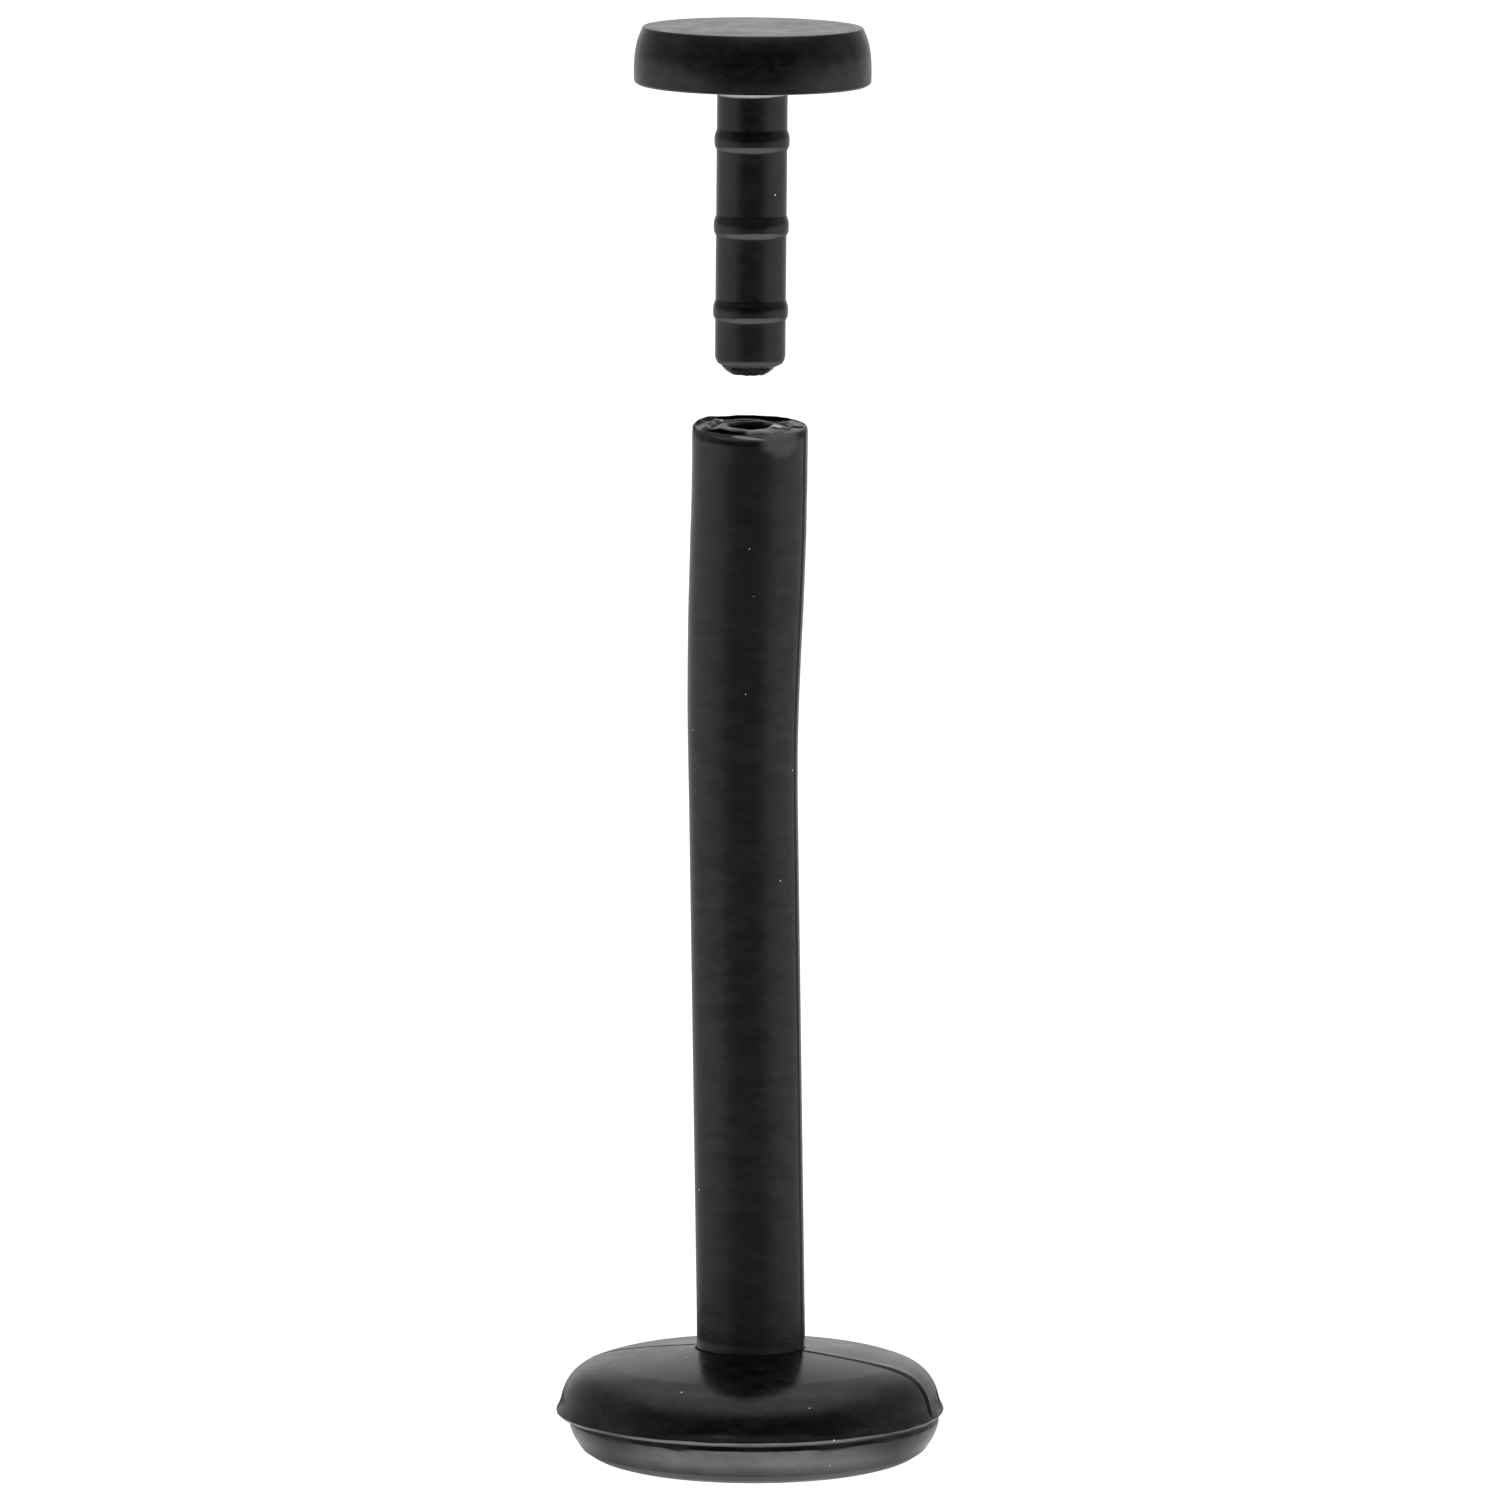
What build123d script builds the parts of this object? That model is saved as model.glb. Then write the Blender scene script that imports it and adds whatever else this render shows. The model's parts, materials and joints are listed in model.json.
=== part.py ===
# Push-fit labret stud: a flexible moulded stem on a round base, and a flat disc top whose
# ribbed pin presses into the hollow end of the stem. The top stands pulled out of the stem,
# above its mouth, on the line that it slides along.
#
# Frame: millimetres, +Z up along the stem, origin at the centre of the base's underside.
# -Y is the front: the mouth is cut a little low on that side.

import os
from math import cos, radians, sin, tan

from build123d import *

os.makedirs("parts", exist_ok=True)

# Base, moulded in an upper and a lower half that meet at the parting plane
parting_z = 0.50  # height of the parting plane above the underside
base_r = 2.08  # outer reach of the flash bead that runs round the parting plane
flash_bead_r = 0.075
upper_r = base_r - 0.035  # upper half at the parting plane
upper_draft = 11.0  # lean of its side, degrees
crown_z = 1.20  # top of the dome on the axis
crown_drop = 0.21  # fall of the dome from the axis to the shoulder
shoulder_round = 0.42
lower_r = base_r - 0.105
lower_shift = 0.03  # the lower half sits this far off along +X, as moulded
foot_round = 0.38

# Stem
wear_length = 10.0  # top of the dome to the mouth
stem_r = 0.575  # solid lower stem
socket_r = stem_r + 0.042  # hollow upper stem
bow = 0.08  # sideways bow along -X, deepest near the socket's floor
section_count = 11  # round sections that the stem is lofted through
root_round = 0.05
mouth_tilt = 3.5  # the end isn't cut square: it leans towards the front, degrees
mouth_round = 0.05

# Top
disc_r = 1.26
disc_top_r = disc_r - 0.085
disc_t = 0.61
disc_edge_round = 0.10
disc_rim_round = 0.02
pin_r = 0.372
pin_length = 3.02  # disc to the pin's shoulder
pin_root_round = 0.04
shoulder_edge_round = 0.09
rib_count = 3
rib_r = pin_r + 0.026
rib_width = 0.20
end_rib = 0.60  # first rib below the disc, and last rib above the shoulder
nub_r = pin_r - 0.107
nub_length = 0.09
nub_chamfer = 0.03

# Fit of the top in the socket
slide_lean = 0.5  # the socket and the top lean along +X, degrees
pin_clearance = 0.012  # radial, outside the ribs
floor_clearance = 0.10  # below the nub when the top is home
seat_clearance = 0.02  # disc to the highest point of the mouth when the top is home
seat_recess_depth = 0.05  # shallow recess that takes the pin's root
seat_recess_clearance = 0.06  # radial, outside the ribs
rest_gap = 0.58  # nub to mouth with the top pulled out

# Worked out from the sizes above
rib_pitch = (pin_length - 2 * end_rib) / (rib_count - 1)
mouth_z = crown_z + wear_length
socket_bore_r = rib_r + pin_clearance
recess_r = rib_r + seat_recess_clearance
rim_rise = socket_r * tan(radians(mouth_tilt))
home_height = rim_rise + seat_clearance  # disc's underside above the mouth's centre, home
rest_height = rest_gap + nub_length + pin_length  # the same, pulled out
travel = rest_height - home_height
socket_depth = pin_length + nub_length - home_height + floor_clearance
floor_cone = socket_bore_r - nub_r  # the floor narrows from the ribs' bore towards the nub
bow_z = mouth_z - socket_depth  # the stem bends where the socket ends

slide_dir = Vector(sin(radians(slide_lean)), 0, cos(radians(slide_lean)))
mouth = Vector(0, 0, mouth_z)
mouth_plane = Plane(
    origin=mouth,
    x_dir=(1, 0, 0),
    z_dir=(0, -sin(radians(mouth_tilt)), cos(radians(mouth_tilt))),
)


def upright(origin, lean=0.0):
    """Sketch plane through an axis: its Y runs up the axis and its X is the radius."""
    return Plane(
        origin=origin,
        x_dir=(cos(radians(lean)), 0, -sin(radians(lean))),
        z_dir=(0, -1, 0),
    )


def swell(height):
    """Stem radius at a height: the solid stem widens smoothly to the hollow end."""
    start, end = bow_z - 0.5, bow_z + 1.6
    share = min(1, max(0, (height - start) / (end - start)))
    return stem_r + (socket_r - stem_r) * share**2 * (3 - 2 * share)


# Stem and base are one moulding.
with BuildPart() as moulded_stem:
    # Lower half of the base: upright side, well rounded foot, flat underside
    with BuildSketch(upright((lower_shift, 0, 0))) as lower_half:
        with BuildLine():
            Polyline((0, 0), (lower_r, 0), (lower_r, parting_z), (0, parting_z), close=True)
        make_face()
        fillet(lower_half.vertices().sort_by_distance((lower_r, 0))[0], foot_round)
    revolve(axis=Axis((lower_shift, 0, 0), (0, 0, 1)))

    # Upper half: drafted side, rounded shoulder, shallow dome
    shoulder_z = crown_z - crown_drop
    shoulder_r = upper_r - (shoulder_z - parting_z) * tan(radians(upper_draft))
    dome_r = (shoulder_r**2 + crown_drop**2) / (2 * crown_drop)
    with BuildSketch(upright((0, 0, 0))) as upper_half:
        with BuildLine():
            Line((0, parting_z), (upper_r, parting_z))
            Line((upper_r, parting_z), (shoulder_r, shoulder_z))
            RadiusArc((shoulder_r, shoulder_z), (0, crown_z), -dome_r)
            Line((0, crown_z), (0, parting_z))
        make_face()
        fillet(upper_half.vertices().sort_by_distance((shoulder_r, shoulder_z))[0], shoulder_round)
    revolve(axis=Axis.Z)

    # Flash bead, squeezed out where the two halves of the mould meet
    with BuildSketch(upright((0, 0, 0))):
        with Locations((base_r - flash_bead_r, parting_z)):
            Circle(flash_bead_r)
    revolve(axis=Axis.Z)

    # Stem: round sections along a gently bowed line, past the mouth, then cut off at a slant
    root = Vector(0, 0, parting_z)
    deepest = Vector(-bow, 0, bow_z - socket_r / 2)
    halfway_back = Vector(-bow / 3, 0, mouth_z - 2 * socket_r)
    with BuildLine(mode=Mode.PRIVATE) as bow_line:
        Spline(
            root,
            deepest,
            halfway_back,
            mouth + slide_dir * 2 * rim_rise,
            tangents=(deepest - root, slide_dir),
        )
    for number in range(section_count):
        share = number / (section_count - 1)
        place = bow_line.line @ share
        with BuildSketch(Plane(origin=place, x_dir=(0, 1, 0), z_dir=bow_line.line % share)):
            Circle(swell(place.Z))
    loft()
    near_crown = moulded_stem.edges().filter_by_position(Axis.Z, crown_z - crown_drop, crown_z)
    fillet(near_crown.filter_by_position(Axis.X, -stem_r, stem_r), root_round)
    split(bisect_by=mouth_plane, keep=Keep.BOTTOM)
    rim = moulded_stem.faces().sort_by(Axis.Z)[-1]
    fillet(rim.outer_wire().edges(), mouth_round)

    # Recess for the pin's root, following the slanted mouth
    with BuildSketch(mouth_plane.offset(-seat_recess_depth)):
        Circle(recess_r)
    extrude(amount=2 * seat_recess_depth, mode=Mode.SUBTRACT)

    # Socket, straight along the slide, with a coned floor
    with BuildSketch(upright(mouth, slide_lean)):
        with BuildLine():
            Polyline(
                (0, rim_rise),
                (socket_bore_r, rim_rise),
                (socket_bore_r, -socket_depth + floor_cone),
                (nub_r, -socket_depth),
                (0, -socket_depth),
                close=True,
            )
        make_face()
    revolve(axis=Axis(mouth, slide_dir), mode=Mode.SUBTRACT)
moulded_stem.part.label = "moulded_stem"

# The disc and its ribbed pin are one moulding. Heights in its sketch count from the disc's
# underside, along the slide.
underside = mouth + slide_dir * rest_height
with BuildPart() as disc_top:
    with BuildSketch(upright(underside, slide_lean)) as profile:
        with BuildLine():
            widest = disc_t / 3
            Line((0, disc_t), (disc_top_r, disc_t))
            TangentArc((disc_r, widest), (disc_top_r, disc_t), tangent=(0, -1), tangent_from_first=False)
            Line((disc_r, widest), (disc_r, 0))
            Line((disc_r, 0), (pin_r, 0))
            top_of_run = 0
            for number in range(rib_count):
                rib = -end_rib - number * rib_pitch
                Line((pin_r, top_of_run), (pin_r, rib + rib_width / 2))
                ThreePointArc(
                    (pin_r, rib + rib_width / 2), (rib_r, rib), (pin_r, rib - rib_width / 2)
                )
                top_of_run = rib - rib_width / 2
            Line((pin_r, top_of_run), (pin_r, -pin_length))
            Line((pin_r, -pin_length), (nub_r, -pin_length))
            Line((nub_r, -pin_length), (nub_r, -pin_length - nub_length))
            Line((nub_r, -pin_length - nub_length), (0, -pin_length - nub_length))
            Line((0, -pin_length - nub_length), (0, disc_t))
        make_face()

        def corner(radius, height):
            """The profile's vertex nearest a radius and a height."""
            return profile.vertices().sort_by_distance((radius, height))[0]

        fillet(corner(disc_top_r, disc_t), disc_rim_round)
        fillet(corner(disc_r, 0), disc_edge_round)
        fillet(corner(pin_r, 0), pin_root_round)
        fillet(corner(pin_r, -pin_length), shoulder_edge_round)
        chamfer(corner(nub_r, -pin_length - nub_length), nub_chamfer)
    revolve(axis=Axis(underside, slide_dir))
disc_top.part.label = "disc_top"

export_step(moulded_stem.part, "parts/moulded_stem.step")
export_step(disc_top.part, "parts/disc_top.step")

print(f"slide direction {slide_dir.X:.6f} 0 {slide_dir.Z:.6f}, travel {travel:.4f} mm")
print(f"disc face centre {underside + slide_dir * disc_t}")
print(f"socket bore {2 * socket_bore_r:.3f} mm across, {socket_depth:.3f} mm deep")
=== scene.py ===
import json
from math import atan2, cos, degrees, exp, hypot, log10, pi, radians, sin, tan

import bpy
import bmesh
from mathutils import Matrix, Vector, noise


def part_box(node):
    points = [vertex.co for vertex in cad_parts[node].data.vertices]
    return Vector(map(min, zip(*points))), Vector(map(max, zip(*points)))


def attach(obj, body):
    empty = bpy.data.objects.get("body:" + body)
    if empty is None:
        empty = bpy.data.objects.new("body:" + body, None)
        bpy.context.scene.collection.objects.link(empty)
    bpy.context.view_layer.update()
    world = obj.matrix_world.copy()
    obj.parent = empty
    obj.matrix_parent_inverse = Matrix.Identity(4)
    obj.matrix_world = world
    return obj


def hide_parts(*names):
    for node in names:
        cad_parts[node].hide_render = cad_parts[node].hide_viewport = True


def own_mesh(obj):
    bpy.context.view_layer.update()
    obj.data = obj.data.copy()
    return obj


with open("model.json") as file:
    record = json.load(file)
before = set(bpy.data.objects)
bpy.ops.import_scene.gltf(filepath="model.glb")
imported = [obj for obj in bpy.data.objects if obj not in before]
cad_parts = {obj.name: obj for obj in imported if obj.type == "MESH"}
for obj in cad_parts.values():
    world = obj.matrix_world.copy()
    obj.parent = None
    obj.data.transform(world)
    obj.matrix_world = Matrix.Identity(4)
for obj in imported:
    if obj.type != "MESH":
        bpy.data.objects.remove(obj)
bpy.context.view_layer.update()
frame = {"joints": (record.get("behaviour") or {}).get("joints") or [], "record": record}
mm = 0.001
print("stud: frame loaded")


def ease(value, start, end):  # 0 before start, 1 after end, smooth between
    share = min(1.0, max(0.0, (value - start) / (end - start)))
    return share * share * (3 - 2 * share)


def mound(value, middle, spread):  # 1 in the middle, falling away to nothing either side
    return exp(-(((value - middle) / spread) ** 2))


def wobble(angle, rows):
    # gentle closed waves round a turned piece, each row (size in millimetres, waves, seed)
    return sum(
        size * noise.noise(Vector((cos(angle) * waves, sin(angle) * waves, seed)))
        for size, waves, seed in rows
    )


turnSet = {
    "weld": 0.0002,
    "wideRound": 0.1,  # roundings over this get more segments
    "wideSegments": 10,
    "segments": 5,
}


def turnOutline(outline, steps, longest, s=turnSet):
    # a chain of corners, each rounded by its own amount, spun round Z into one closed skin
    bm = bmesh.new()
    corners = [bm.verts.new((radius, 0, height)) for radius, height, rounding in outline]
    for lower, upper in zip(corners, corners[1:]):
        bm.edges.new((lower, upper))
    for corner, (radius, height, rounding) in zip(corners, outline):
        if rounding:
            bmesh.ops.bevel(
                bm, geom=[corner], offset=rounding, offset_type="OFFSET", affect="VERTICES",
                segments=s["wideSegments"] if rounding > s["wideRound"] else s["segments"],
                profile=0.5, material=-1, clamp_overlap=True,
            )
    for edge in list(bm.edges):
        cuts = int(edge.calc_length() / longest)
        if cuts:
            bmesh.ops.subdivide_edges(bm, edges=[edge], cuts=cuts)
    bmesh.ops.spin(
        bm, geom=bm.verts[:] + bm.edges[:], cent=(0, 0, 0), axis=(0, 0, 1),
        angle=2 * pi, steps=steps, use_merge=True, use_duplicate=False,
    )
    bmesh.ops.remove_doubles(bm, verts=bm.verts, dist=s["weld"])
    bmesh.ops.recalc_face_normals(bm, faces=bm.faces)
    bm.normal_update()
    return bm


def finishPiece(bm, name, body, node=None):
    # shrinks the skin to metres and puts it on its body, in place of its plain solid if it has one
    bmesh.ops.scale(bm, vec=(mm, mm, mm), verts=bm.verts)
    mesh = bpy.data.meshes.new(name)
    bm.to_mesh(mesh)
    bm.free()
    mesh.shade_smooth()
    piece = bpy.data.objects.new(name, mesh)
    bpy.context.scene.collection.objects.link(piece)
    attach(piece, body)
    if node:
        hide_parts(node)
    print(f"stud: {name} made, {len(mesh.polygons)} faces")
    return piece


# where the parts are: the mounts and the joint give the slide, the boxes give the ends
stemTop = (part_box("moulded_stem")[1] / mm).z
slide = Vector(frame["joints"][0]["axis"])
discFace = next(m for m in frame["record"]["mounts"] if m["name"] == "disc_face")
discFaceCentre = Vector(discFace["pos_m"]) / mm
slideLean = slide.x / slide.z

# Base and stem, one moulding. Outline points are (radius, height, rounding) in millimetres.
stemSet = {
    "steps": 192,
    "longest": 0.11,
    "partingZ": 0.50,
    "lowerRadius": 1.997,
    "lowerShift": 0.042,  # the base's lower half sits this far off, as moulded
    # the foot's edge rolls up in a long round, with a faint crease in it
    "foot": ((1.59, 0.0, 0.03), (1.738, 0.045, 0.04), (1.860, 0.125, 0.015)),
    "flashRadius": 2.092,
    "flashRoot": 2.050,
    # heights above the parting plane, from the shoulder up to the crown
    "dome": (
        (2.010, 0.275, 0.08), (1.895, 0.443, 0.10), (1.673, 0.542, 0.12), (1.40, 0.594, 0.13),
        (1.112, 0.637, 0.14),
    ),
    "crownZ": 1.195,
    "stemRadius": 0.582,
    "rootRound": 0.020,
    "swell": ((0.605, 8.60, 0.40), (0.6245, 9.65, 0.40), (0.616, 10.60, 0.30)),  # over the socket
    "swellStart": 7.45,
    "bow": 0.079,
    "rootOffset": 0.012,
    "bendZ": 7.7,
    "bendSoft": (-0.4, -0.2, 0, 0.2, 0.4),  # the bow is averaged over these heights
    "boreRadius": 0.410,
    "boreDepth": 3.15,
    "boreFloorRadius": 0.265,
    "mouthRadius": 0.619,
    "mouthDrop": 0.034,  # rim's highest point to the mouth's centre
    "mouthTilt": 4.4,
    "rimEdge": 0.592,
    "weld": 0.0004,
}
mouthZ = stemTop - stemSet["mouthDrop"]

# The cut end. Places round it are in degrees from the right, counted towards the back.
cutSet = {
    "rimRows": (0.13, 0.105, 0.080, 0.055, 0.030),  # rings of points below the rim
    "splitOuter": 0.586,  # the cut end is split between these radii, round the back
    "splitInner": 0.480,
    "splitDepth": 0.10,
    "splitFrom": (38, 48),
    "splitTo": (118, 130),
    "splitLeast": 0.08,
    "sunk": (58, 15, 0.014),  # the split's inner edge is lower here: place, spread, depth
    "sunkTo": (0.50, 0.56),  # radii over which it ends
    "crack": (-3, 3.5, 0.050),  # a short crack that runs outwards: place, spread, depth
    "crackTo": (0.55, 0.58),
    "crackRadii": (0.425, 0.56),
    "crackHalf": 3.0,
    "slitFrom": (-178, -160),  # the slit opens the mouth outwards, almost to the wall's outside
    "slitTo": (-104, -86),
    "slitWall": 0.600,
    "slitOpening": 0.64,  # share of the wall that it takes at the mouth
    "slitHeights": (-0.30, -0.08),
    "cutZone": 0.12,  # how far down from the mouth each of these changes reaches
    "slitZone": 0.35,
    "roundZone": 0.2,
    "raised": 0.026,  # the cut stands higher at the back left
    "raisedFrom": (112, 140),
    "raisedTo": (-178, -165),
    "raisedOver": (0.44, 0.56),
    "uneven": ((0.007, 2.2, 11.0), (0.004, 7.0, 3.0)),
    "rimRound": 0.10,
    "roundLeft": 0.3,  # shares of the rounding that are left at the sides
    "roundRight": 0.2,
}


def stemOutline(s, cut):
    part, crown, bore = s["partingZ"], s["crownZ"], s["boreRadius"]
    lower, flash, mouth = s["lowerRadius"], s["flashRadius"], s["mouthRadius"]
    outer, inner, splitZ = cut["splitOuter"], cut["splitInner"], mouthZ - cut["splitDepth"]
    underside = [
        (0, 0, 0),
        *s["foot"],
        (lower - 0.012, 0.31, 0.11),
        (lower, part - 0.080, 0.02),
        (lower - 0.010, part - 0.026, 0.006),
    ]
    lip = [
        (s["flashRoot"], part - 0.014, 0.006),
        (flash - 0.002, part + 0.024, 0.006),
        (flash - 0.003, part + 0.035, 0.008),
        (s["flashRoot"], part + 0.110, 0.04),
    ]
    dome = [(radius, part + height, rounding) for radius, height, rounding in s["dome"]]
    stem = [
        (s["stemRadius"] + 0.001, crown, s["rootRound"]),
        (s["stemRadius"], crown + 0.14, 0.02),
        (s["stemRadius"] + 0.002, s["swellStart"], 0.25),
        *s["swell"],
    ]
    stem += [(mouth, mouthZ - down, 0 if row else 0.02) for row, down in enumerate(cut["rimRows"])]
    rim = [
        (mouth - 0.002, mouthZ, 0.018),
        (s["rimEdge"], mouthZ - 0.001, 0.004),
        (outer, splitZ, 0.01),
        ((outer + inner) / 2, splitZ, 0),
        (inner, splitZ, 0.01),
        (inner - 0.008, mouthZ - 0.016, 0.006),
        (bore + 0.014, mouthZ - 0.022, 0.01),
    ]
    floor = mouthZ - s["boreDepth"]
    socket = [
        (bore, mouthZ - 0.060, 0.01),
        (bore, floor + bore - s["boreFloorRadius"], 0.03),
        (s["boreFloorRadius"], floor, 0.03),
        (0, floor, 0),
    ]
    return underside + lip + dome + stem + rim + socket


# Flash round the parting plane: uneven, as it was trimmed
flashSet = {
    "band": 0.09,
    "inside": 1.99,
    "outwards": ((0.008, 3.1, 4.0), (0.006, 9.0, 7.0)),
    "upwards": ((0.008, 2.3, 1.0), (0.005, 12.0, 8.0)),
}

# Parting line over the dome and up the stem: a fine groove, with the back half a little proud
seamSet = {
    "turn": 20.0,  # the parting plane, turned from the X axis towards the front on the right
    "lines": (-0.09, -0.03, -0.013, 0.0, 0.013, 0.03, 0.09),
    "groove": 0.012,
    "grooveWidth": 0.012,
    "step": 0.010,
    "shoulderStep": 0.022,
    "leftShare": 0.35,  # the step is lower on the left
    "stepWidth": 0.12,
    "fade": (0.03, 0.12),  # it starts over these heights above the parting plane
    "inside": 0.3,
    "onLine": 0.0005,  # points this near the line count as on it, and aren't raised
}


def seamMove(place, normal, side, seam, s):
    # how far the parting line moves a point in or out; side is its distance behind the line
    onShoulder = ease(hypot(place.x, place.y), 1.2, 1.8) * ease(place.x, 0.2, 1.0)
    step = seam["step"] + (seam["shoulderStep"] - seam["step"]) * onShoulder
    step *= seam["leftShare"] if place.x < 0 else 1.0
    depth = seam["groove"] * mound(side, 0, seam["grooveWidth"])
    rise = step * exp(-side / seam["stepWidth"]) if side > seam["onLine"] else 0
    low, high = seam["fade"]
    return normal * (rise - depth) * ease(place.z - s["partingZ"], low, high)


def centreLine(z, s):
    # sideways place of the stem's middle: a straight lean, then back over the socket
    total = 0
    for offset in s["bendSoft"]:
        at = z + offset
        if at < s["bendZ"]:
            share = (at - s["crownZ"]) / (s["bendZ"] - s["crownZ"])
            total += s["rootOffset"] - (s["rootOffset"] + s["bow"]) * max(0, share)
        else:
            total -= s["bow"] * (1 - ease(at, s["bendZ"], mouthZ - 0.1))
    return total / len(s["bendSoft"])


def splitShare(turned, cut):  # how open the split is
    opened = ease(turned, *cut["splitFrom"]) * (1 - ease(turned, *cut["splitTo"]))
    return max(cut["splitLeast"], opened)


def slitShare(turned, cut=cutSet):  # how open the slit is
    turned = turned - 360 if turned > 180 else turned
    return ease(turned, *cut["slitFrom"]) * (1 - ease(turned, *cut["slitTo"]))


def rollOver(s, cut, radius, depth, turned):
    # how far a point near the rim's corner moves in and down, so that the corner becomes a round:
    # full at the front, less at the sides, none at the back
    left, right, size = cut["roundLeft"], cut["roundRight"], cut["rimRound"]
    if turned > 0:
        share = left * ease(turned, 120, 180) + right * (1 - ease(turned, 0, 50))
    else:
        fromLeft = left + (1 - left) * ease(turned, -180, -145)
        share = fromLeft * (1 - (1 - right) * ease(turned, -50, 0))
    onSide = depth if radius > s["rimEdge"] + 0.003 else 0
    along = radius - s["mouthRadius"] + onSide
    if abs(along) >= size:
        return 0, 0
    angle = pi / 4 * (1 + along / size)
    inward = radius - (s["mouthRadius"] - size + size * sin(angle))
    down = size * (1 - cos(angle)) - onSide
    return share * inward, share * down


def shapeMouth(place, first, s, cut):
    # opens, tilts, roughens and rounds the cut end; first is the point's place as it was spun
    radius, angle = hypot(first.x, first.y), atan2(first.y, first.x)
    depth, turned, bore = mouthZ - first.z, degrees(angle), s["boreRadius"]
    if depth < cut["cutZone"] and bore + 0.03 < radius < 0.590:
        place.z = mouthZ - depth * splitShare(turned, cut)
        middle, spread, low = cut["sunk"]
        place.z -= low * mound(turned, middle, spread) * (1 - ease(radius, *cut["sunkTo"]))
        middle, spread, low = cut["crack"]
        place.z -= low * mound(turned, middle, spread) * (1 - ease(radius, *cut["crackTo"]))
    if depth < cut["slitZone"] and 0.40 < radius < cut["slitWall"]:
        low, high = cut["slitHeights"]
        opened = cut["slitOpening"] * slitShare(turned) * ease(-depth, low, high)
        wider = (cut["slitWall"] - (cut["slitWall"] - radius) * (1 - opened)) / radius
        place.x, place.y = place.x * wider, place.y * wider
    tilt = tan(radians(s["mouthTilt"]))
    place.z += first.y * tilt * ease(first.z, mouthZ - 1.0, mouthZ - 0.1)
    if radius > bore + 0.02:
        atRim = ease(-depth, -cut["cutZone"], -0.02)
        if turned > 0:
            backLeft = ease(turned, *cut["raisedFrom"])
        else:
            backLeft = 1 - ease(turned, *cut["raisedTo"])
        place.z += atRim * wobble(angle, cut["uneven"])
        place.z += cut["raised"] * atRim * backLeft * ease(radius, *cut["raisedOver"])
        if depth < cut["roundZone"]:
            inward, down = rollOver(s, cut, radius, depth, turned)
            place.x, place.y = place.x * (1 - inward / radius), place.y * (1 - inward / radius)
            place.z -= down


def isPaintedShade(face, s, cut):
    # painted shade: the socket, the split, the crack and the stem's root take the black material,
    # for the shade in these hollows and in the root's crease
    middle = face.calc_center_median()
    radius, turned = hypot(middle.x, middle.y), degrees(atan2(middle.y, middle.x))
    depth, up = mouthZ - middle.z, middle.z - s["crownZ"]
    bore = radius < s["boreRadius"] + 0.004 and up > 1 and depth > 0.03
    inSplit = cut["splitInner"] - 0.006 < radius < 0.591 and 0.004 < depth < cut["cutZone"]
    low, high = cut["crackRadii"]
    inCrack = depth < 0.11 and abs(turned - cut["crack"][0]) < cut["crackHalf"]
    crack = low < radius < high and inCrack
    root = radius < s["stemRadius"] + 0.014 and -0.01 < up < 0.03
    return bore or crack or root or (inSplit and splitShare(turned, cut) > 0.3)


def makeStem(s, cut, seam, flash):
    bm = turnOutline(stemOutline(s, cut), s["steps"], s["longest"])
    turn = radians(seam["turn"])
    across = Vector((sin(turn), cos(turn), 0))
    for offset in seam["lines"]:
        bmesh.ops.bisect_plane(
            bm, geom=bm.verts[:] + bm.edges[:] + bm.faces[:], dist=seam["onLine"],
            plane_co=across * offset, plane_no=across,
        )
    # the cuts leave their new points in no fixed order, and a weld keeps the first of two
    order = sorted(bm.verts, key=lambda vert: (vert.co.to_tuple(4), vert.co.to_tuple()))
    for number, vert in enumerate(order):
        vert.index = number
    bm.verts.sort()
    bmesh.ops.remove_doubles(bm, verts=bm.verts, dist=s["weld"])
    bm.normal_update()
    # painted shade: faces in the hollows and the root's crease take the second, black material
    for face in bm.faces:
        face.material_index = 1 if isPaintedShade(face, s, cut) else 0
    part, floor = s["partingZ"], mouthZ - s["boreDepth"]
    places = []
    for vert in bm.verts:
        x, y, z = vert.co
        radius, angle = hypot(x, y), atan2(y, x)
        place = vert.co.copy()
        outside = radius > 0.5 or z < floor - 0.1
        if outside and part + seam["fade"][0] < z < mouthZ - 0.03 and radius > seam["inside"]:
            place += seamMove(vert.co, vert.normal, across.dot(vert.co), seam, s)
        if z < part - 0.018:
            place.x += s["lowerShift"] * ease(part - z, 0.018, 0.026)
        if abs(z - part) < flash["band"] and radius > flash["inside"]:
            ragged = wobble(angle, flash["outwards"])
            place.x += cos(angle) * ragged
            place.y += sin(angle) * ragged
            place.z += wobble(angle, flash["upwards"])
        if z > s["crownZ"] - 0.1 and radius < 0.75:
            # the skin follows the bow, and the socket the slide
            outer = ease(radius, 0.46, 0.52) if z > floor - 0.3 else 1
            share = ease(z, s["crownZ"] - 0.02, s["crownZ"] + 0.05)
            line = (z - mouthZ) * slideLean
            place.x += share * (outer * centreLine(z, s) + (1 - outer) * line)
            shapeMouth(place, vert.co, s, cut)
        places.append(place)
    for vert, place in zip(bm.verts, places):
        vert.co = place
    return finishPiece(bm, "stemMoulding", "stem", "moulded_stem")


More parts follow.
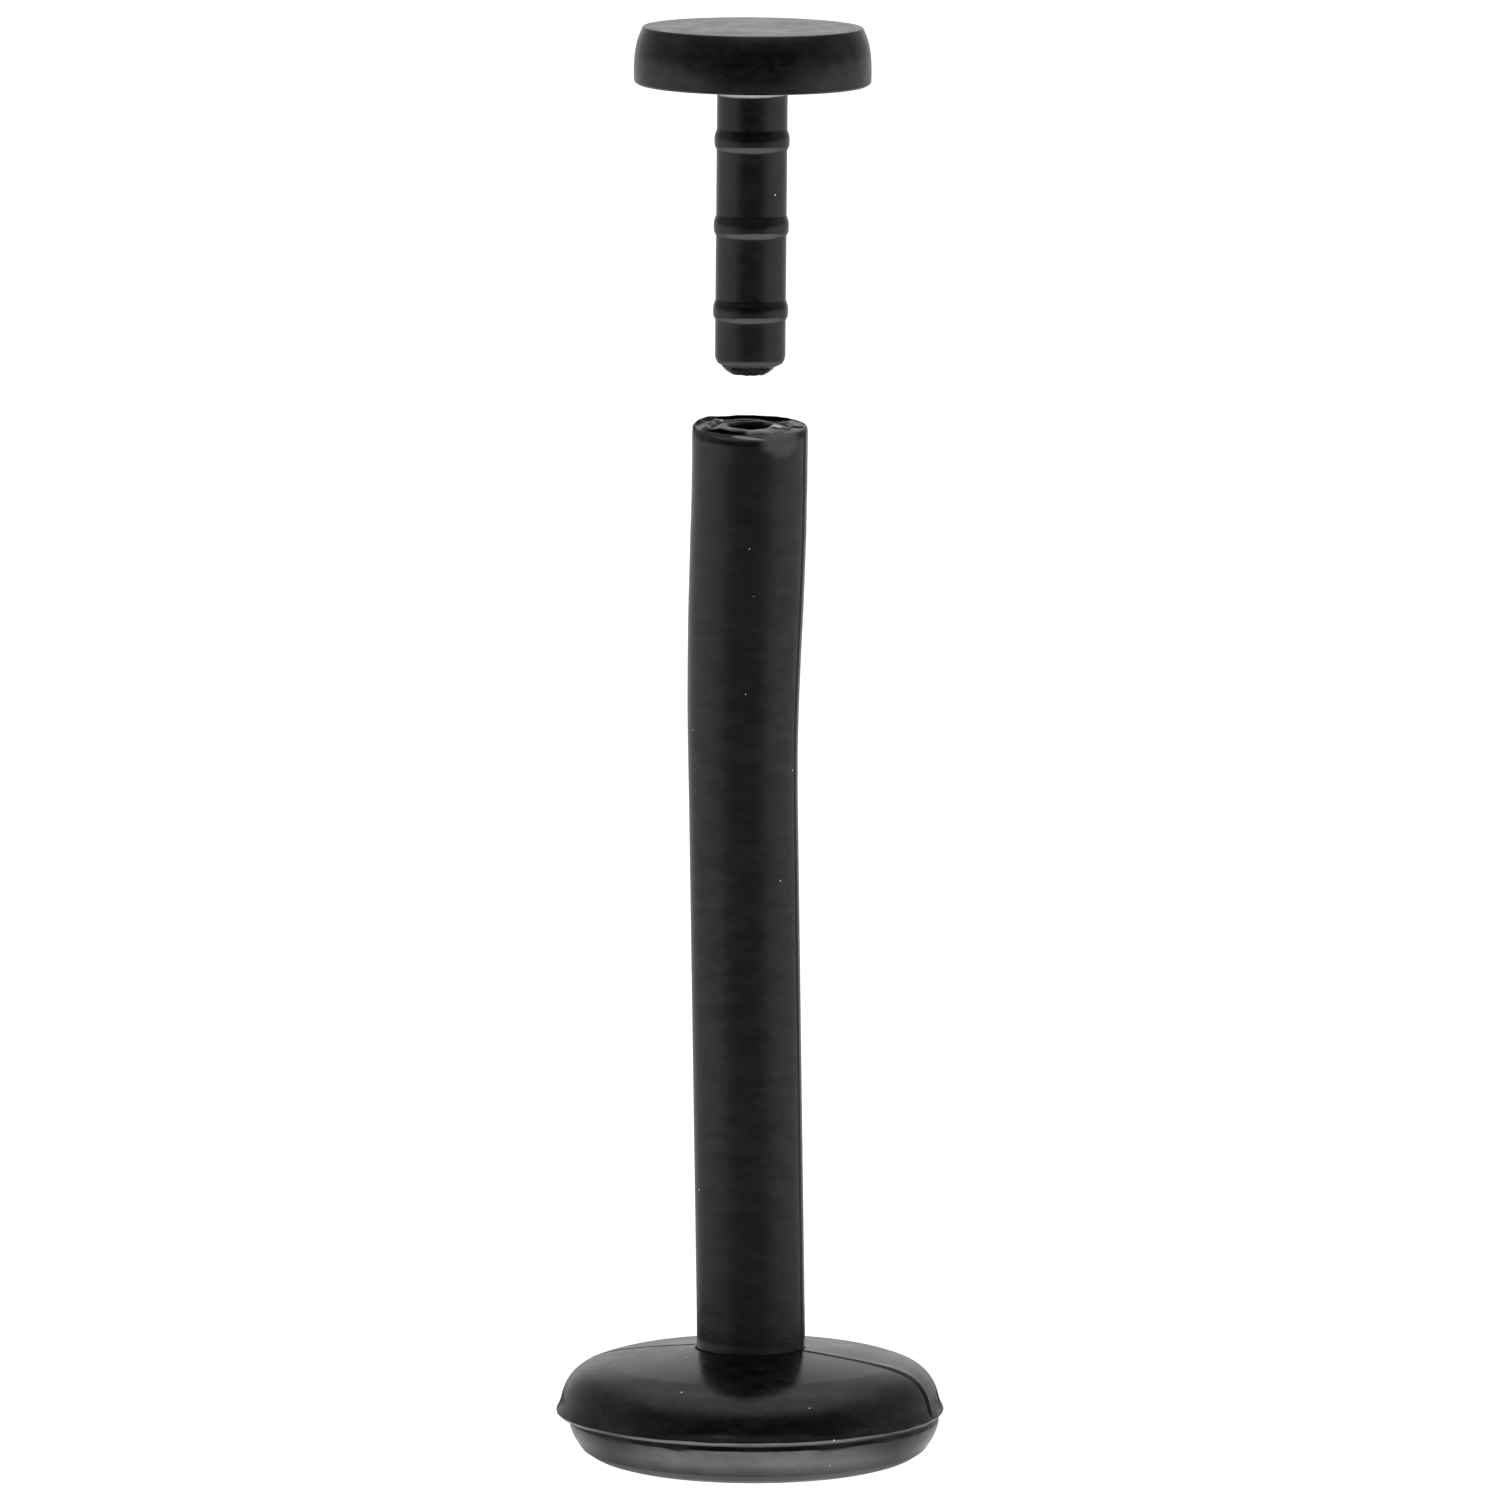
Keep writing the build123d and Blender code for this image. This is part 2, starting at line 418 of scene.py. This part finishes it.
# Disc and pin, one moulding. Outline points are (radius, height, rounding), from the disc's face.
topSet = {
    "steps": 160,
    "longest": 0.09,
    "faceRadius": 1.176,
    "side": ((1.220, -0.10, 0.05), (1.256, -0.235, 0.08), (1.270, -0.40, 0.08)),
    "discDepth": 0.61,
    # the underside, heights from the disc's lower edge: sunk round the pin, where it clears the
    # stem's rim
    "underside": (
        (1.268, 0.022, 0.02), (1.218, -0.010, 0.015), (1.13, -0.012, 0.02), (0.74, 0.062, 0.05),
    ),
    "dish": 0.062,
    "pinRadius": 0.377,
    "pinLength": 3.02,
    "ribRadius": 0.403,
    "ribs": (0.597, 1.516, 2.421),  # below the disc
    "ribHalf": 0.098,
    "nubRadius": 0.272,
    "nubLength": 0.10,
    "nubPit": 0.020,
    # the nub is where the runner was twisted off, so it isn't quite round, level or central
    "nubUpwards": ((0.010, 1.6, 2.0), (0.005, 5.0, 6.0)),
    "nubSideways": ((0.012, 1.9, 9.0),),
    "nubOffset": -0.015,
    "discUneven": ((0.0022, 1.3, 5.0),),
    "seat": (-0.005, 0, -0.020),  # the real piece hangs this much off the nominal line
    # painted highlights: pale lines that stand in for the gloss at the pin's root, under the ribs,
    # round the shoulder and on the nub: half length, half height, colour
    "rootHighlight": (0.60, 0.032, "#c8c8c8"),
    "ribHighlight": (0.48, 0.042, "#585858"),
    "shoulderHighlight": (0.48, 0.050, "#525252"),
    "nubHighlight": (0.26, 0.06, "#2c2c2c"),
}


def topOutline(s):
    deep, pin, rib, half = -s["discDepth"], s["pinRadius"], s["ribRadius"], s["ribHalf"]
    disc = [(0, 0, 0), (s["faceRadius"], 0, 0.012), *s["side"]]
    disc += [(radius, deep + height, rounding) for radius, height, rounding in s["underside"]]
    root = [
        (pin + 0.024, deep + s["dish"], 0.008),
        (pin + 0.022, deep - 0.078, 0.006),
        (pin, deep - 0.107, 0.006),
    ]
    chain = []
    for low in s["ribs"]:
        middle = deep - low
        chain += [
            (pin, middle + half + 0.012, 0.012),
            (rib - 0.005, middle + 0.055, 0.02),
            (rib, middle, 0.02),
            (rib - 0.004, middle - half + 0.034, 0.008),
            (pin, middle - half - 0.008, 0.006),
        ]
    end = deep - s["pinLength"]
    bottom = end - s["nubLength"]
    tip = [
        (pin, end + 0.085, 0.03),
        (pin - 0.029, end + 0.030, 0.010),
        (pin - 0.085, end, 0.012),
        (s["nubRadius"] + 0.010, end - 0.006, 0.008),
        (s["nubRadius"] - 0.030, end - 0.050, 0.03),
        (0.155, bottom, 0.02),
        (0.10, bottom + s["nubPit"], 0.02),
        (0, bottom + s["nubPit"], 0),
    ]
    return disc + root + chain + tip


def makeTop(s):
    bm = turnOutline(topOutline(s), s["steps"], s["longest"])
    end = -s["discDepth"] - s["pinLength"]
    for vert in bm.verts:
        radius, angle = hypot(vert.co.x, vert.co.y), atan2(vert.co.y, vert.co.x)
        if vert.co.z < end - 0.002 and radius > 0.1:
            vert.co.z += wobble(angle, s["nubUpwards"])
            vert.co.x += wobble(angle, s["nubSideways"]) + s["nubOffset"]
        if -s["discDepth"] < vert.co.z < -0.03 and radius > 1.1:
            scale = 1 + wobble(angle, s["discUneven"])
            vert.co.x *= scale
            vert.co.y *= scale
    toSlide = Vector((0, 0, 1)).rotation_difference(slide).to_matrix().to_4x4()
    seat = Matrix.Translation(discFaceCentre + Vector(s["seat"])) @ toSlide
    bmesh.ops.transform(bm, matrix=seat, verts=bm.verts)
    return finishPiece(bm, "discTop", "top", "disc_top")


def pinPaintedHighlights(s):
    # painted highlights at the pin's root, under the ribs and round the shoulder, with a fainter
    # one on the nub
    deep = -s["discDepth"]
    end = deep - s["pinLength"]
    lines = [(deep - 0.094, s["rootHighlight"])]
    lines += [(deep - low - s["ribHalf"] + 0.013, s["ribHighlight"]) for low in s["ribs"]]
    lines += [(end + 0.036, s["shoulderHighlight"]), (end - 0.06, s["nubHighlight"])]
    middle = discFaceCentre + Vector(s["seat"])
    return [
        (middle + slide * height, (half, 2.0, high), 0, 0, colour)
        for height, (half, high, colour) in lines
    ]


# Relaxed lining of the mouth: four soft lobes that leave a small hole towards the back, and an
# open slit at the front left.
lobeSet = {
    "lobes": (
        ("mouthLobeFront", -90), ("mouthLobeRight", 0), ("mouthLobeBack", 90),
        ("mouthLobeLeft", 180),
    ),
    "around": 40,
    "along": 12,
    "hole": (0.0, 0.178),
    "holeRadii": (0.203, 0.132),
    "holeUneven": ((0.06, 2.0, 13.0),),
    "reach": 0.425,
    "slitReach": 0.335,
    "thick": 0.018,
    "below": 0.036,  # under the mouth's plane
    "roll": 0.045,  # a soft roll down at the hole
    "swell": 0.018,
    "lift": (0.26, 0.04, 0.022),  # an edge lifted right of the hole: x, y, height
    "liftSize": (0.06, 0.07),
    "crack": (-0.045, 0.018, 0.035),  # y, spread, depth
    "crackFrom": (0.24, 0.30),
    "slitRaised": 0.030,
    "uneven": (0.008, 6, 3.0),  # height, waves for each millimetre, seed
    "darkHole": 1.15,  # painted shade: black out to this share of the hole's size
    "darkSlope": 0.3,
    "darkCrack": (0.27, 0.012),
    "anchor": 0.50,
    "keep": 0.05,
}


def lobePoint(s, angle, share):
    # from the hole's edge (0) to the wall (1), in the mouth's plane
    reach = s["reach"] + (s["slitReach"] - s["reach"]) * slitShare(degrees(angle))
    outer = Vector((reach * cos(angle), reach * sin(angle)))
    middle, radii = Vector(s["hole"]), s["holeRadii"]
    away = outer - middle
    length = hypot(away.x / radii[0], away.y / radii[1])
    inner = middle + away / length * (1 + wobble(angle, s["holeUneven"]))
    return inner + (outer - inner) * share


def lobeHeight(s, place, share, angle):
    roll = -s["roll"] * (1 - ease(share, 0.0, 0.30))
    swell = s["swell"] * sin(pi * min(1, max(0, share)))
    x, y, high = s["lift"]
    lift = high * mound(place.x, x, s["liftSize"][0]) * mound(place.y, y, s["liftSize"][1])
    y, spread, low = s["crack"]
    crack = low * mound(place.y, y, spread) * ease(place.x, *s["crackFrom"])
    size, waves, seed = s["uneven"]
    uneven = size * noise.noise(Vector((place.x * waves, place.y * waves, seed)))
    raised = s["slitRaised"] * slitShare(degrees(angle)) * ease(share, 0.3, 0.8)
    return -s["below"] + roll + swell + lift - crack + uneven + raised


def makeLobe(name, heading, s):
    # a flat grid, bent round the hole and then given its thickness
    tilt = tan(radians(stemSet["mouthTilt"]))
    bm = bmesh.new()
    bmesh.ops.create_grid(bm, x_segments=s["around"], y_segments=s["along"], size=0.5)
    for vert in bm.verts:
        angle, share = radians(heading + 90 * vert.co.x), vert.co.y + 0.5
        place = lobePoint(s, angle, share)
        height = lobeHeight(s, place, share, angle)
        vert.co = (place.x, place.y, mouthZ + place.y * tilt + height)
    sheet = bmesh.ops.extrude_face_region(bm, geom=bm.edges[:] + bm.faces[:], use_keep_orig=True)
    under = [part for part in sheet["geom"] if isinstance(part, bmesh.types.BMVert)]
    bmesh.ops.translate(bm, vec=(0, 0, -s["thick"]), verts=under)
    bmesh.ops.recalc_face_normals(bm, faces=bm.faces)
    bm.normal_update()
    hole, radii, (crackStart, crackHalf) = s["hole"], s["holeRadii"], s["darkCrack"]
    for face in bm.faces:
        middle = face.calc_center_median()
        away = hypot((middle.x - hole[0]) / radii[0], (middle.y - hole[1]) / radii[1])
        inCrack = middle.x > crackStart and abs(middle.y - s["crack"][0]) < crackHalf
        # painted shade: faces round the hole, in the crack and on the steep sides and undersides
        # take the black material
        if away < s["darkHole"] or inCrack or face.normal.z < s["darkSlope"]:
            face.material_index = 1
    piece = finishPiece(bm, name, "stem")
    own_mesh(piece)
    return piece


stemPiece = makeStem(stemSet, cutSet, seamSet, flashSet)
topPiece = makeTop(topSet)
lobes = [makeLobe(name, heading, lobeSet) for name, heading in lobeSet["lobes"]]


def toLinear(hexColour):  # sRGB hex to the linear values that shaders take
    parts = [int(hexColour[i:i + 2], 16) / 255 for i in (1, 3, 5)]
    return [c / 12.92 if c <= 0.04045 else ((c + 0.055) / 1.055) ** 2.4 for c in parts] + [1]


def addNode(tree, kind, settings=None, links=None):
    # one node with its settings, and links from (node, output) into its inputs
    node = tree.nodes.new(kind)
    for key, value in (settings or {}).items():
        if isinstance(key, str) and hasattr(node, key):
            setattr(node, key, value)
        else:
            node.inputs[key].default_value = value
    for key, (source, output) in (links or {}).items():
        tree.links.new(source.outputs[output], node.inputs[key])
    return node


polymerSet = {
    "colour": "#050505",
    "worn": "#141414",
    "speck": "#c8c8c2",
    "rough": (0.18, 0.28),
    "roughPatch": 0.5,
    "gloss": (0.44, 0.58),
    "mottleSpan": (0.40, 0.60),  # the mottle's values that these two follow
    "wornSpan": (0.45, 0.62),
    "wornMost": 0.6,
    "mottleMm": 0.35,  # patches left by the mould's worn polish
    "mottleDetail": (7.0, 0.72),
    "mottleStretch": (1.0, 1.0, 2.2),  # they are wider round the piece than up it
    "grainMm": 0.03,  # spark-eroded grain, drawn a little coarse to show
    "grainDetail": (2.0, 0.5),
    "speckMm": 0.13,  # dust: cells of this size, a few of which hold a speck
    "speckSize": 0.09,
    "speckRare": 0.965,
    "speckTurn": (0.6, 0.9, 0.4),  # off the grid, so that they don't line up
    "grainHeight": 0.002,
    "grainStrength": 0.12,
    "patchEdge": (0.95, 1.45),  # a scuff fades out over these shares of its size
    "patchMottle": 0.9,
    "ior": 1.46,
}


def mouldedPolymer(name, s, patchesAndHighlights):
    # flexible polymer, injection moulded: near black, satin, faintly mottled, with dust on it and
    # pale patches, most of them painted highlights, each (centre mm, half sizes mm, turn about Y,
    # turn about Z, colour)
    material = bpy.data.materials.new(name)
    material.use_nodes = True
    tree = material.node_tree
    tree.nodes.clear()
    output = addNode(tree, "ShaderNodeOutputMaterial")
    place = addNode(tree, "ShaderNodeTexCoord")
    stretched = addNode(
        tree, "ShaderNodeVectorMath", {"operation": "MULTIPLY", 1: s["mottleStretch"]},
        {0: (place, "Object")},
    )
    detail, roughness = s["mottleDetail"]
    mottle = addNode(
        tree, "ShaderNodeTexNoise",
        {"Scale": 1 / (s["mottleMm"] * mm), "Detail": detail, "Roughness": roughness},
        {"Vector": (stretched, "Vector")},
    )
    detail, roughness = s["grainDetail"]
    grain = addNode(
        tree, "ShaderNodeTexNoise",
        {"Scale": 1 / (s["grainMm"] * mm), "Detail": detail, "Roughness": roughness},
        {"Vector": (place, "Object")},
    )
    shaken = addNode(
        tree, "ShaderNodeMapping", {"Rotation": s["speckTurn"]}, {"Vector": (place, "Object")},
    )
    cells = addNode(
        tree, "ShaderNodeTexVoronoi", {"Scale": 1 / (s["speckMm"] * mm)},
        {"Vector": (shaken, "Vector")},
    )
    dot = addNode(
        tree, "ShaderNodeMath", {"operation": "LESS_THAN", 1: s["speckSize"]},
        {0: (cells, "Distance")},
    )
    rare = addNode(tree, "ShaderNodeSeparateColor", None, {"Color": (cells, "Color")})
    chosen = addNode(
        tree, "ShaderNodeMath", {"operation": "GREATER_THAN", 1: s["speckRare"]},
        {0: (rare, "Red")},
    )
    speck = addNode(
        tree, "ShaderNodeMath", {"operation": "MULTIPLY"},
        {0: (dot, "Value"), 1: (chosen, "Value")},
    )
    tone = addNode(
        tree, "ShaderNodeMapRange",
        {"From Min": s["wornSpan"][0], "From Max": s["wornSpan"][1], "To Max": s["wornMost"]},
        {"Value": (mottle, "Fac")},
    )
    worn = addNode(
        tree, "ShaderNodeMix",
        {"data_type": "RGBA", 6: toLinear(s["colour"]), 7: toLinear(s["worn"])},
        {0: (tone, "Result")},
    )
    dusty = addNode(
        tree, "ShaderNodeMix", {"data_type": "RGBA", 7: toLinear(s["speck"])},
        {0: (speck, "Value"), 6: (worn, 2)},
    )
    mottled = {"From Min": s["mottleSpan"][0], "From Max": s["mottleSpan"][1]}
    rough = addNode(
        tree, "ShaderNodeMapRange", {**mottled, "To Min": s["rough"][0], "To Max": s["rough"][1]},
        {"Value": (mottle, "Fac")},
    )
    for centre, sizes, turnY, turnZ, colour in patchesAndHighlights:
        # a soft-edged pale patch, most often a painted highlight or painted sheen
        patchPlace = addNode(
            tree, "ShaderNodeMapping",
            {
                "vector_type": "TEXTURE",
                "Location": Vector(centre) * mm,
                "Rotation": (0, radians(turnY), radians(turnZ)),
                "Scale": [size * mm for size in sizes],
            },
            {"Vector": (place, "Object")},
        )
        away = addNode(
            tree, "ShaderNodeVectorMath", {"operation": "LENGTH"}, {0: (patchPlace, "Vector")},
        )
        uneven = addNode(
            tree, "ShaderNodeMath", {"operation": "MULTIPLY_ADD", 1: s["patchMottle"]},
            {0: (mottle, "Fac"), 2: (away, "Value")},
        )
        patch = addNode(
            tree, "ShaderNodeMapRange",
            {
                "interpolation_type": "SMOOTHSTEP", "From Min": s["patchEdge"][0],
                "From Max": s["patchEdge"][1], "To Min": 1.0, "To Max": 0.0,
            },
            {"Value": (uneven, "Value")},
        )
        dusty = addNode(
            tree, "ShaderNodeMix", {"data_type": "RGBA", 7: toLinear(colour)},
            {0: (patch, "Result"), 6: (dusty, 2)},
        )
        rough = addNode(
            tree, "ShaderNodeMix", {"data_type": "FLOAT", 3: s["roughPatch"]},
            {0: (patch, "Result"), 2: (rough, 0)},
        )
    gloss = addNode(
        tree, "ShaderNodeMapRange", {**mottled, "To Min": s["gloss"][0], "To Max": s["gloss"][1]},
        {"Value": (mottle, "Fac")},
    )
    bump = addNode(
        tree, "ShaderNodeBump",
        {"Strength": s["grainStrength"], "Distance": s["grainHeight"] * mm},
        {"Height": (grain, "Fac")},
    )
    shader = addNode(
        tree, "ShaderNodeBsdfPrincipled", {"IOR": s["ior"]},
        {
            "Base Color": (dusty, 2), "Roughness": (rough, 0),
            "Specular IOR Level": (gloss, "Result"), "Normal": (bump, "Normal"),
        },
    )
    tree.links.new(shader.outputs["BSDF"], output.inputs["Surface"])
    return material


paintedShadeSet = {"colour": "#020202", "rough": 0.6, "gloss": 0.12, "ior": 1.46}


def plainPolymer(name, s):
    # painted shade: the same polymer, matt and near black, put where the hollows and creases lie
    # in shade so that they read as plain black
    material = bpy.data.materials.new(name)
    material.use_nodes = True
    tree = material.node_tree
    tree.nodes.clear()
    output = addNode(tree, "ShaderNodeOutputMaterial")
    shader = addNode(
        tree, "ShaderNodeBsdfPrincipled",
        {
            "Base Color": toLinear(s["colour"]), "Roughness": s["rough"], "IOR": s["ior"],
            "Specular IOR Level": s["gloss"],
        },
    )
    tree.links.new(shader.outputs["BSDF"], output.inputs["Surface"])
    return material


# pale patches of the cut end, as mouldedPolymer takes them: painted sheen on the rim, painted
# highlights on the flap and the slit's lip, and two pale patches at the back left
mouthPatchesAndHighlights = (
    # painted sheen over the rolled rim, lightening its shade
    ((0.34, -0.50, mouthZ - 0.06), (0.32, 0.17, 0.27), 0, 30, "#424242"),
    # painted glint on the flap by the hole
    ((0.27, 0.03, mouthZ - 0.01), (0.095, 0.045, 0.07), 0, -20, "#d4d4d4"),
    # painted highlight on the lip of the slit
    ((-0.055, -0.572, mouthZ - 0.062), (0.26, 0.06, 0.022), 6.3, 0, "#787878"),
    # two pale patches at the back left
    ((-0.33, 0.36, mouthZ + 0.05), (0.095, 0.04, 0.07), 0, -45, "#a8a8a8"),
    ((-0.42, 0.24, mouthZ + 0.03), (0.14, 0.035, 0.07), 0, -28, "#6c6c6c"),
)
blackPolymer = mouldedPolymer("mouldedBlackPolymer", polymerSet, pinPaintedHighlights(topSet))
mouthPolymer = mouldedPolymer("blackPolymerWithPaintedHighlights", polymerSet, mouthPatchesAndHighlights)
paintedShadePolymer = plainPolymer("paintedShadePolymer", paintedShadeSet)
topPiece.data.materials.append(blackPolymer)
for piece in (stemPiece, *lobes):
    piece.data.materials.append(mouthPolymer)
    piece.data.materials.append(paintedShadePolymer)
print("stud: materials made")

# Camera: a long lens, a little above the disc, level with the piece's left and right
cameraSet = {
    "lens": 356.8,
    "sensor": 36,
    "distance": 0.158,
    "height": 0.0295,
    "aimHeight": 0.0077,
    "clip": (0.002, 20),
}
cameraData = bpy.data.cameras.new("camera")
cameraData.lens = cameraSet["lens"]
cameraData.sensor_width = cameraSet["sensor"]
cameraData.clip_start, cameraData.clip_end = cameraSet["clip"]
camera = bpy.data.objects.new("camera", cameraData)
camera.location = (0, -cameraSet["distance"], cameraSet["height"])
aim = Vector((0, 0, cameraSet["aimHeight"])) - camera.location
camera.rotation_euler = aim.to_track_quat("-Z", "Y").to_euler()
bpy.context.scene.collection.objects.link(camera)
bpy.context.scene.camera = camera

# Floor and room. The paper is lit evenly and blows out to white. In the gloss, the room is dim
# towards the front, and the paper is bright close round the piece and falls away from it.
studioSet = {
    "floorHalf": 1.5,
    "floorDrop": 0.003,  # a hair below the underside, in millimetres
    "floorColour": "#f4f4f4",
    "paper": 1.0,
    "seen": 1.15,
    # brightness of the paper in the gloss, by distance from the piece in millimetres: in front,
    # and to the sides
    "front": (
        (1.5, 0.3), (1.85, 0.9), (2.1, 4.2), (2.8, 4.2), (3.3, 0.9), (4.6, 0.6), (5.4, 0.06),
        (8.0, 0.06), (9.2, 0.34), (17, 0.36), (25, 0.34), (32, 0.29), (40, 0.20), (48, 0.27),
        (56, 0.42), (88, 0.53), (110, 0.33), (130, 0.10), (160, 0.02), (400, 0.02),
    ),
    "sides": (
        (1.5, 0.2), (1.85, 0.4), (2.1, 0.9), (3.0, 0.9), (3.6, 0.76), (4.8, 0.72), (5.6, 0.10),
        (8.2, 0.10), (9.8, 0.76), (40, 0.76), (95, 0.95), (400, 0.90),
    ),
    "sideFrom": (-1.0, -0.45),  # directions, from the front (-1) to the back (1)
    "around": ((-1.0, 1.0), (0.0, 1.0), (0.6, 0.63), (1.0, 0.63)),
    "most": 5.0,  # the lists above are scaled to this, because a ramp ends at 1
    "room": (  # brightness of the walls in the gloss, from the front to the back
        (-1.0, 0.05), (-0.5, 0.15), (0.0, 0.35), (0.5, 0.30), (0.85, 0.42), (0.95, 0.71),
        (1.0, 0.71),
    ),
    "overhead": 1.0,
    "overheadFrom": (0.55, 0.95),  # height in the sky where the overhead light starts and is full
}


def grey(bright):
    return (bright, bright, bright, 1)


def follow(tree, stops, source, output):
    # brightness that follows a value through a list of stops
    low, high = stops[0][0], stops[-1][0]
    share = addNode(
        tree, "ShaderNodeMapRange", {"From Min": low, "From Max": high},
        {"Value": (source, output)},
    )
    ramp = addNode(tree, "ShaderNodeValToRGB", None, {"Fac": (share, "Result")})
    elements = ramp.color_ramp.elements
    while len(elements) < len(stops):
        elements.new(1.0)
    for element, (at, bright) in zip(elements, stops):
        element.position = (at - low) / (high - low)
        element.color = grey(bright)
    return ramp


def between(tree, first, second, source, output, span):
    # one brightness before the span and the other after it
    share = addNode(
        tree, "ShaderNodeMapRange",
        {"interpolation_type": "SMOOTHSTEP", "From Min": span[0], "From Max": span[1]},
        {"Value": (source, output)},
    )
    links = {0: (share, "Result")}
    settings = {"data_type": "RGBA"}
    for socket, value in ((6, first), (7, second)):
        if isinstance(value, tuple):
            links[socket] = value
        else:
            settings[socket] = grey(value)
    return addNode(tree, "ShaderNodeMix", settings, links)


def makeRoom(s):
    # even white light on the piece; its gloss sees dim walls and a bright overhead
    world = bpy.data.worlds.new("softRoom")
    bpy.context.scene.world = world
    world.use_nodes = True
    tree = world.node_tree
    tree.nodes.clear()
    output = addNode(tree, "ShaderNodeOutputWorld")
    path = addNode(tree, "ShaderNodeLightPath")
    direction = addNode(tree, "ShaderNodeTexCoord")
    split = addNode(tree, "ShaderNodeSeparateXYZ", None, {"Vector": (direction, "Generated")})
    walls = follow(tree, s["room"], split, "Y")
    gloss = between(tree, (walls, "Color"), s["overhead"], split, "Z", s["overheadFrom"])
    both = addNode(
        tree, "ShaderNodeMix", {"data_type": "RGBA", 6: grey(s["paper"])},
        {0: (path, "Is Glossy Ray"), 7: (gloss, 2)},
    )
    background = addNode(tree, "ShaderNodeBackground", None, {"Color": (both, 2)})
    tree.links.new(background.outputs["Background"], output.inputs["Surface"])


def makePaper(s):
    # pale seamless paper: matt and even to the eye
    material = bpy.data.materials.new("paleSeamlessPaper")
    material.use_nodes = True
    tree = material.node_tree
    tree.nodes.clear()
    output = addNode(tree, "ShaderNodeOutputMaterial")
    path = addNode(tree, "ShaderNodeLightPath")
    place = addNode(tree, "ShaderNodeTexCoord")
    reach = addNode(
        tree, "ShaderNodeVectorMath", {"operation": "LENGTH"}, {0: (place, "Object")},
    )
    heading = addNode(
        tree, "ShaderNodeVectorMath", {"operation": "NORMALIZE"}, {0: (place, "Object")},
    )
    split = addNode(tree, "ShaderNodeSeparateXYZ", None, {"Vector": (heading, "Vector")})
    away = addNode(
        tree, "ShaderNodeMath", {"operation": "LOGARITHM", 1: 10.0}, {0: (reach, "Value")},
    )
    rings = []
    for stops in (s["front"], s["sides"]):
        scaled = [(log10(far * mm), bright / s["most"]) for far, bright in stops]
        rings.append(follow(tree, scaled, away, "Value"))
    gloss = between(
        tree, (rings[0], "Color"), (rings[1], "Color"), split, "Y", s["sideFrom"],
    )
    around = follow(tree, s["around"], split, "Y")
    full = addNode(
        tree, "ShaderNodeMix", {"data_type": "RGBA", "blend_type": "MULTIPLY", 0: 1.0},
        {6: (gloss, 2), 7: (around, "Color")},
    )
    matt = addNode(tree, "ShaderNodeBsdfDiffuse", {"Color": toLinear(s["floorColour"])})
    mirrored = addNode(tree, "ShaderNodeEmission", {"Strength": s["most"]}, {"Color": (full, 2)})
    seen = addNode(tree, "ShaderNodeEmission", {"Color": grey(s["seen"])})
    inGloss = addNode(
        tree, "ShaderNodeMixShader", None,
        {0: (path, "Is Glossy Ray"), 1: (matt, "BSDF"), 2: (mirrored, "Emission")},
    )
    both = addNode(
        tree, "ShaderNodeMixShader", None,
        {0: (path, "Is Camera Ray"), 1: (inGloss, "Shader"), 2: (seen, "Emission")},
    )
    tree.links.new(both.outputs["Shader"], output.inputs["Surface"])
    return material


floorMesh = bpy.data.meshes.new("floor")
floorSkin = bmesh.new()
bmesh.ops.create_grid(floorSkin, x_segments=1, y_segments=1, size=studioSet["floorHalf"])
bmesh.ops.translate(floorSkin, vec=(0, 0, -studioSet["floorDrop"] * mm), verts=floorSkin.verts)
floorSkin.to_mesh(floorMesh)
floorSkin.free()
floor = bpy.data.objects.new("floor", floorMesh)
bpy.context.scene.collection.objects.link(floor)
floorMesh.materials.append(makePaper(studioSet))
makeRoom(studioSet)
bpy.context.scene.view_settings.view_transform = "Standard"
print("stud: camera, floor and light set")
